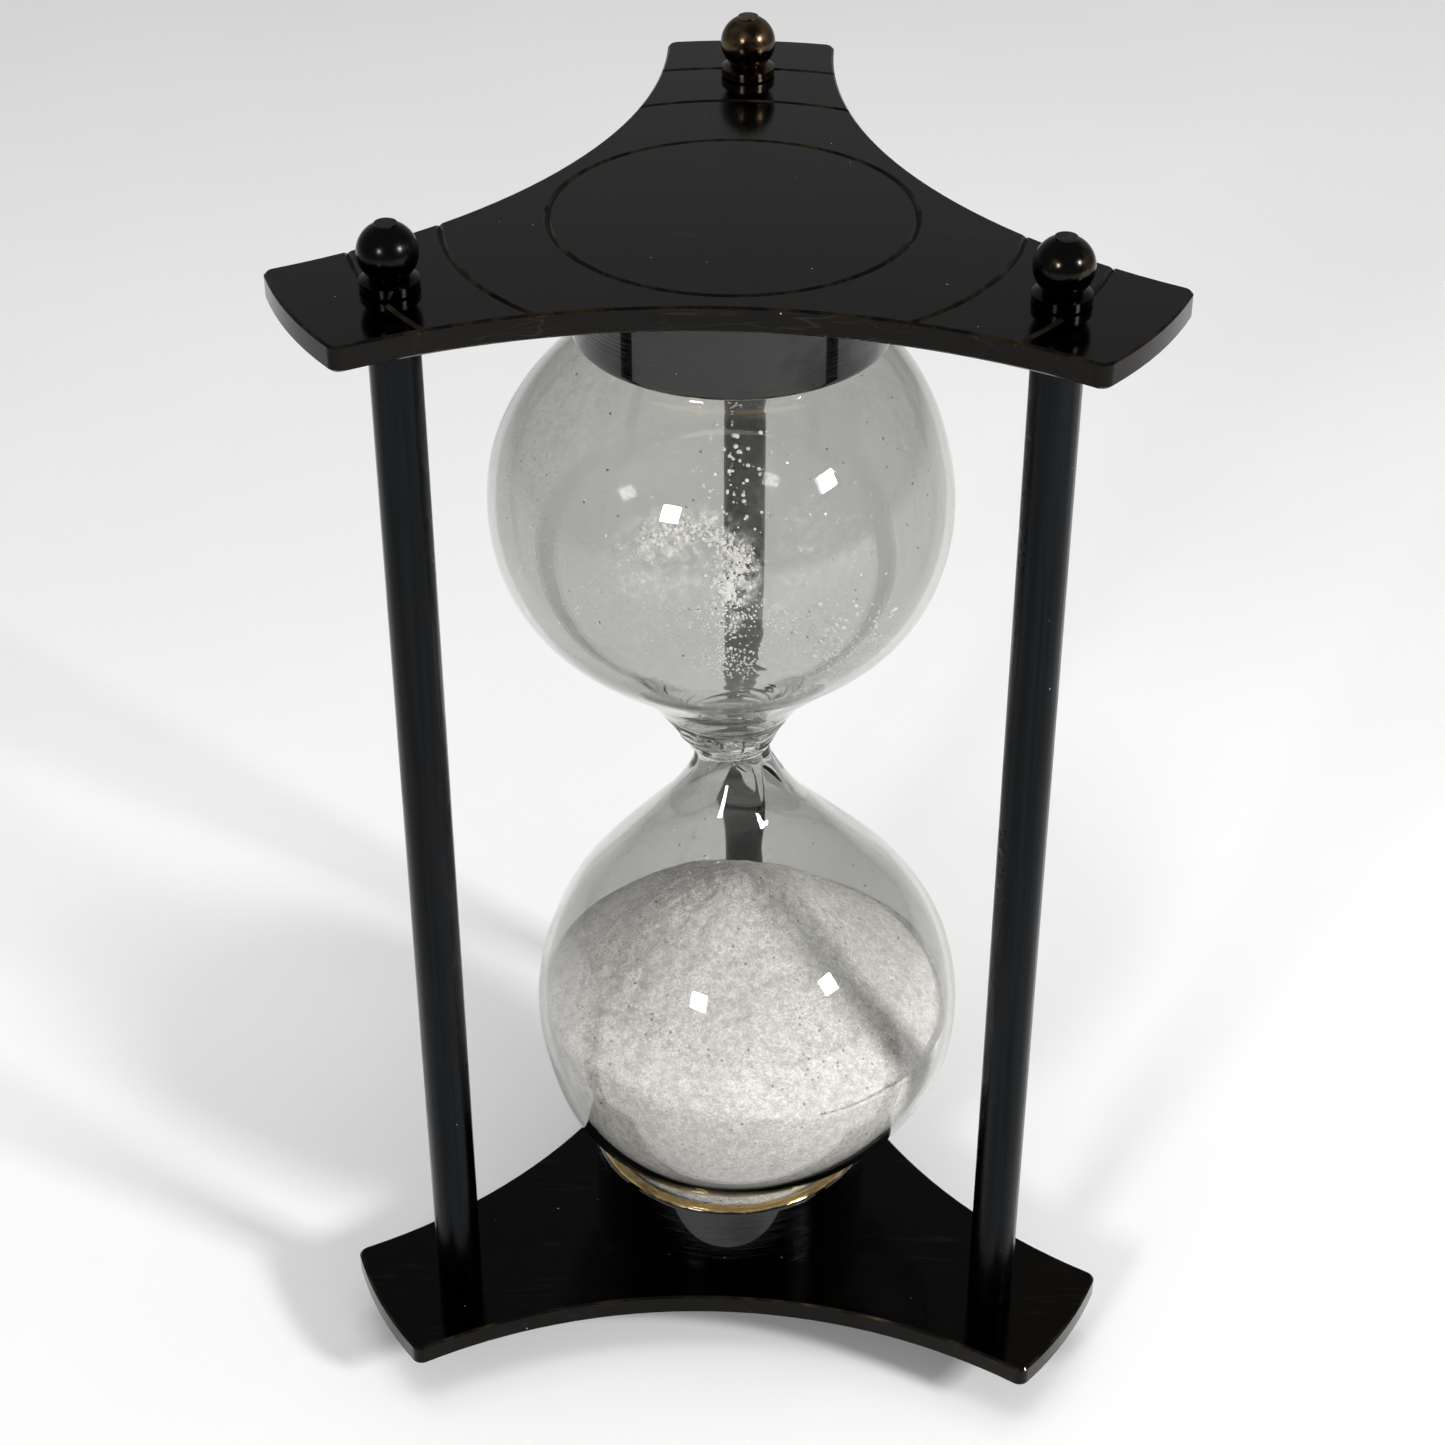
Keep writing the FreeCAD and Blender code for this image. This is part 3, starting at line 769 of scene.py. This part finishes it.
lifted[:, 2] += WAIST_RAISE * smoothly(np.abs(lifted[:, 2] - NECK_HEIGHT) / MM, 45, 8)
move_points(clinging_grains, leaning(lifted))
material, tree, shader, place = new_material("clinging_dust")
lump_tone = fade(tree, cloud(tree, place, 1400, 3, 0.6), 0.35, 0.7)
feed(tree, shader, Base_Color=blend(tree, lump_tone, (0.74, 0.725, 0.70, 1), (0.92, 0.91, 0.89, 1)))
feed(tree, shader, Roughness=fade(tree, lump_tone, 0, 1, 0.85, 1.0))
bump(tree, shader, lump_tone, 0.0003, 0.6)
clinging_dust = material
clinging_grains.data.materials.append(clinging_dust)
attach(clinging_grains, "root")

# ---- dust on the glass ----
# The sand's finest dust has settled as a thin uneven film on the inside of both bulbs, thicker towards the
# bottom of the upper one and nearly even in the lower one.

FILM_GAP = 0.12 * MM
FILM_THICKNESS = 0.05 * MM
# the bands that dust covers, as heights over the neck
UPPER_FILM = (15 * MM, 92 * MM)
LOWER_FILM = (-60 * MM, -12 * MM)
# thicker dust, as (turn, height, half width in degrees, half height, share)
DUST_PATCHES = (
    (122, 29, 30, 6, 0.40), (52, 31, 24, 9, 0.30), (20, 22, 60, 3, 0.45),
    (-90, 24, 60, 5, 0.2), (150, 60, 30, 14, 0.22), (20, 62, 26, 12, 0.2),
)


def settle_marks(film):
    """Paints where the dust lies thickest: along the curl of clinging grains and in the patches."""
    height = (points_of(film)[:, 2] - NECK_HEIGHT) / MM
    turn = np.degrees(np.arctan2(points_of(film)[:, 1], points_of(film)[:, 0]))
    nearest = np.full(len(height), 99.0)
    for (turn_a, height_a), (turn_b, height_b) in zip(CURL, CURL[1:]):
        for share in (0.0, 0.25, 0.5, 0.75, 1.0):
            across = (turn - turn_a - (turn_b - turn_a) * share) * 0.6
            nearest = np.minimum(nearest, np.hypot(across, height - height_a - (height_b - height_a) * share))
    marks = smoothly(nearest, 5.0, 1.2)
    for turn_at, height_at, wide, tall, amount in DUST_PATCHES:
        away = np.hypot((turn - turn_at) / wide, (height - height_at) / tall)
        marks = np.maximum(marks, amount * smoothly(away, 1.15, 0.75))
    attribute = film.data.attributes.new("settled", "FLOAT", "POINT")
    attribute.data.foreach_set("value", marks.astype(np.float32))


def dust_film(name, low, high, material):
    """A thin closed band just inside the glass, between two heights over the neck."""
    inset = GLASS_WALL + FILM_GAP
    film = turned(name, whole_outline(inset, NECK_RADIUS - inset), GLASS_STEPS)
    bpy.ops.object.mode_set(mode="EDIT")
    for height, upper in ((low, False), (high, True)):
        bpy.ops.mesh.select_all(action="SELECT")
        level = (0, 0, NECK_HEIGHT + height)
        bpy.ops.mesh.bisect(plane_co=level, plane_no=(0, 0, 1), clear_outer=upper, clear_inner=not upper)
    bpy.ops.object.mode_set(mode="OBJECT")
    skin = film.modifiers.new("skin", "SOLIDIFY")
    skin.thickness = FILM_THICKNESS
    skin.offset = -1
    bpy.ops.object.modifier_apply(modifier="skin")
    move_points(film, leaning(worked_neck(blown(points_of(film)), 0.25, 0.6, False)))
    settle_marks(film)
    bpy.ops.object.shade_smooth()
    film.data.materials.append(material)
    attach(film, "root")


material, tree, shader, place = new_material("sand_dust")
spot = add_node(tree, "SeparateXYZ", {0: place}).outputs
patches = fade(tree, cloud(tree, place, 34, 5, 0.62), 0.40, 0.68)
fine = fade(tree, cloud(tree, place, 900, 3, 0.6), 0.40, 0.75)
settled = fade(tree, spot[2], NECK_HEIGHT + 62 * MM, NECK_HEIGHT + 24 * MM, 0.35, 1.0)
marks_here = add_node(tree, "Attribute", attribute_name="settled").outputs["Fac"]
crumbled = fade(tree, cloud(tree, place, 420, 4, 0.65), 0.38, 0.6)
thick = times(tree, calc(tree, "ADD", 0.006, times(tree, patches, 0.06)), settled)
thick = calc(tree, "ADD", thick, times(tree, times(tree, marks_here, crumbled), 0.62))
from_neck = calc(tree, "ABSOLUTE", calc(tree, "SUBTRACT", spot[2], NECK_HEIGHT))
thick = times(tree, thick, fade(tree, from_neck, 14 * MM, 23 * MM))
thick = times(tree, thick, calc(tree, "ADD", 0.6, fine))
speck = add_node(tree, "TexVoronoi", {"Vector": place, "Scale": 800.0})
speck_pick = add_node(tree, "SeparateColor", {0: speck.outputs["Color"]}).outputs
few = calc(tree, "GREATER_THAN", speck_pick[0], 0.95)
is_speck = times(tree, few, calc(tree, "LESS_THAN", speck.outputs["Distance"], 0.16))
film_colour = blend(tree, fine, (0.72, 0.71, 0.69, 1), (0.88, 0.87, 0.85, 1))
dark_speck = times(tree, is_speck, calc(tree, "GREATER_THAN", speck_pick[1], 0.5))
film_colour = blend(tree, dark_speck, film_colour, (0.10, 0.09, 0.085, 1))
feed(tree, shader, Base_Color=film_colour, Roughness=fade(tree, fine, 0, 1, 0.85, 1.0))
feed(tree, shader, Alpha=calc(tree, "MINIMUM", calc(tree, "ADD", thick, times(tree, is_speck, 0.8)), 1.0))
shader.inputs["Specular IOR Level"].default_value = 0.1
dust_film("upper_dust_film", *UPPER_FILM, material)
dust_film("lower_dust_film", *LOWER_FILM, material)

# ---- posts ----
# Three posts of round brass bar, 8.5 mm thick and tapped M4 at both ends, keep the plates apart. They are
# blackened like the plates but duller and a little blue, drawn lengthwise.

POST_NAMES = ("front_left", "front_right", "back")
POST_BLACK = (0.0085, 0.0095, 0.0105, 1)
POST_BLUE = (0.012, 0.0135, 0.0155, 1)

material, tree, shader, place = new_material("blackened_post")
marks = use_marks(tree, place)
drawn = cloud(tree, stretched(tree, place, (0, 0, 0), (1, 1, 0.02)), 900, 3)
post_colour = blend(tree, fade(tree, drawn, 0.35, 0.65), POST_BLACK, POST_BLUE)
post_colour = blend(tree, times(tree, marks["Stains"], 0.4), post_colour, (0.020, 0.016, 0.012, 1))
post_colour = blend(tree, marks["Dust"], post_colour, DUST)
feed(tree, shader, Base_Color=post_colour, Metallic=calc(tree, "SUBTRACT", 1.0, marks["Dust"]))
feed(tree, shader, Roughness=calc(tree, "ADD", 0.24, times(tree, marks["Smudges"], 0.12)))
bump(tree, shader, drawn, 0.00001, 0.4)
dress(["post_" + name for name in POST_NAMES], material)

# ---- studs ----
# An M4 steel stud joins each post to its ball nut, through the plate. It shows only while the nut is being
# unscrewed, and its thread is cut, not drawn.

STUD_CREST = 2.0 * MM
STUD_ROOT = 1.57 * MM
STUD_PITCH = 0.7 * MM


def threaded_stud(name, low, high):
    """A threaded rod on the Z axis from low to high."""
    bpy.ops.object.select_all(action="DESELECT")
    bpy.ops.mesh.primitive_plane_add(size=1 * MM, location=(STUD_ROOT, 0, low - STUD_PITCH))
    piece = bpy.context.object
    piece.name = name
    bpy.ops.object.mode_set(mode="EDIT")
    bpy.ops.mesh.select_all(action="SELECT")
    bpy.ops.mesh.merge(type="CENTER")
    depth = STUD_CREST - STUD_ROOT
    for across, up in ((0, 0.15), (depth, 0.30), (0, 0.12), (-depth, 0.43)):
        bpy.ops.mesh.extrude_vertices_move(TRANSFORM_OT_translate={"value": (across, 0, up * STUD_PITCH)})
    bpy.ops.object.mode_set(mode="OBJECT")
    bpy.ops.object.transform_apply(location=True, rotation=False, scale=False)
    thread = piece.modifiers.new("thread", "SCREW")
    thread.axis = "Z"
    thread.angle = 2 * math.pi
    thread.screw_offset = STUD_PITCH
    thread.iterations = math.ceil((high - low) / STUD_PITCH) + 2
    thread.steps = thread.render_steps = 24
    thread.use_merge_vertices = True
    thread.merge_threshold = 0.00001
    bpy.ops.object.modifier_apply(modifier="thread")
    bpy.ops.object.mode_set(mode="EDIT")
    for height, upper in ((low, False), (high, True)):
        bpy.ops.mesh.select_all(action="SELECT")
        level = {"plane_co": (0, 0, height), "plane_no": (0, 0, 1)}
        bpy.ops.mesh.bisect(**level, use_fill=True, clear_outer=upper, clear_inner=not upper)
    bpy.ops.mesh.select_all(action="SELECT")
    bpy.ops.mesh.remove_doubles(threshold=0.000005)
    bpy.ops.mesh.normals_make_consistent(inside=False)
    bpy.ops.object.mode_set(mode="OBJECT")
    return piece


for end in ("lower", "upper"):
    low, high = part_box(f"{end}_stud_back")
    pattern = threaded_stud(f"{end}_stud_pattern", low.z, high.z)
    shape = points_of(pattern)
    for name in POST_NAMES:
        node = f"{end}_stud_{name}"
        node_low, node_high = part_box(node)
        stud = pattern.copy()
        stud.data = pattern.data.copy()
        stud.name = f"{node}_threaded"
        bpy.context.scene.collection.objects.link(stud)
        middle = (node_low + node_high) / 2
        move_points(stud, shape + np.array((middle.x, middle.y, 0)))
        bpy.ops.object.select_all(action="DESELECT")
        stud.select_set(True)
        bpy.context.view_layer.objects.active = stud
        bpy.ops.object.shade_smooth_by_angle(angle=math.radians(30))
        stud.data.materials.append(bright_steel)
        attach(stud, node)
        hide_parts(node)
    bpy.data.objects.remove(pattern)

# ---- ball nuts ----
# Each stud ends in a blind ball nut turned from brass, with a collar under the ball. The nuts are handled
# most, so their black is rubbed to brown and bronze, each one by its own amount.


def ball_material(name, wear):
    """wear is the share of the black that is rubbed off."""
    material, tree, shader, place = new_material(name)
    marks = use_marks(tree, place)
    patches = cloud(tree, place, 240, 5, 0.62)
    rubbed = fade(tree, patches, 0.72 - 0.5 * wear, 0.86 - 0.3 * wear)
    brown = fade(tree, cloud(tree, place, 120, 4, 0.6), 0.7 - 0.5 * wear, 0.9 - 0.4 * wear)
    blackened(tree, shader, marks, times(tree, rubbed, 0.15 + 0.6 * wear), brown, 0.16)
    bump(tree, shader, patches, 0.00004, 0.3)
    return material


BALL_WEAR = {"back": 0.75, "front_right": 0.42, "front_left": 0.12}
for name in POST_NAMES:
    dress([f"upper_ball_nut_{name}"], ball_material(f"ball_nut_{name}", BALL_WEAR[name]))
dress([f"lower_ball_nut_{name}" for name in POST_NAMES], ball_material("ball_nut_foot", 0.5))
